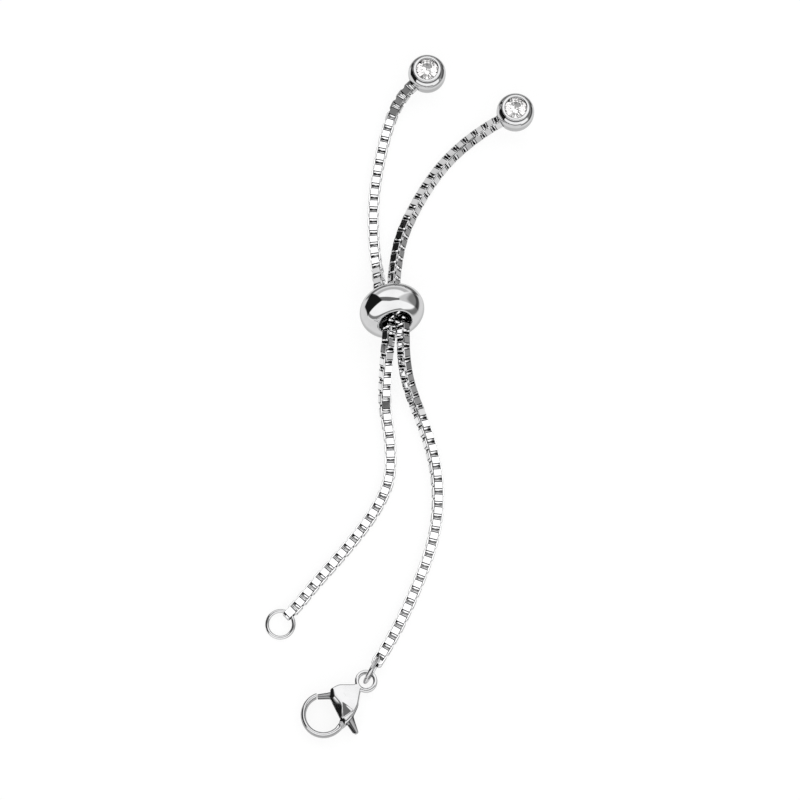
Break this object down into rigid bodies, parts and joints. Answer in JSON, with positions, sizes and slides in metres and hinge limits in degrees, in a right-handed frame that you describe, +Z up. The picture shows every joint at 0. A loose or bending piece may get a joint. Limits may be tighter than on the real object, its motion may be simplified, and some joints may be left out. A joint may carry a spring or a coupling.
{
  "type": "extender chain",
  "caption": "Sliding extender chain for a bracelet: box-chain strands through a hollow slider bead, ball ends set with stones, a jump ring and a lobster clasp.",
  "frame": {"origin": "under the middle of the bounding box, on the surface that the chain lies on", "axes": "+Y towards the ball ends, -Y towards the clasp, +Z up from the surface"},
  "size_m": [0.0358, 0.0933, 0.0083],
  "materials": {
    "polished_bead": "mirror-polished stainless steel",
    "chain_steel": "polished stainless steel, tumbled",
    "ring_steel": "polished stainless steel wire",
    "clasp_steel": "polished cast stainless steel",
    "clear_stone": "clear brilliant-cut stone"
  },
  "bodies": {
    "extender": {"slider_bead": "polished_bead", "end_bead_left": "polished_bead", "end_bead_right": "polished_bead", "stone_left": "clear_stone", "stone_right": "clear_stone", "chain_left": "chain_steel", "chain_right": "chain_steel", "end_ring": "ring_steel", "clasp_ring": "ring_steel", "clasp_body": "clasp_steel", "clasp_pin": "clasp_steel"},
    "lever": {"clasp_lever": "clasp_steel"}
  },
  "joints": [
    {"name": "lever_hinge", "type": "hinge", "parent": "extender", "child": "lever", "pos_m": [-0.00763, -0.04132, 0.0012], "axis": [0, 0, 1], "range_deg": [0, 25], "stiffness_Nm_per_rad": 0.003, "springref_deg": -17.19}
  ]
}
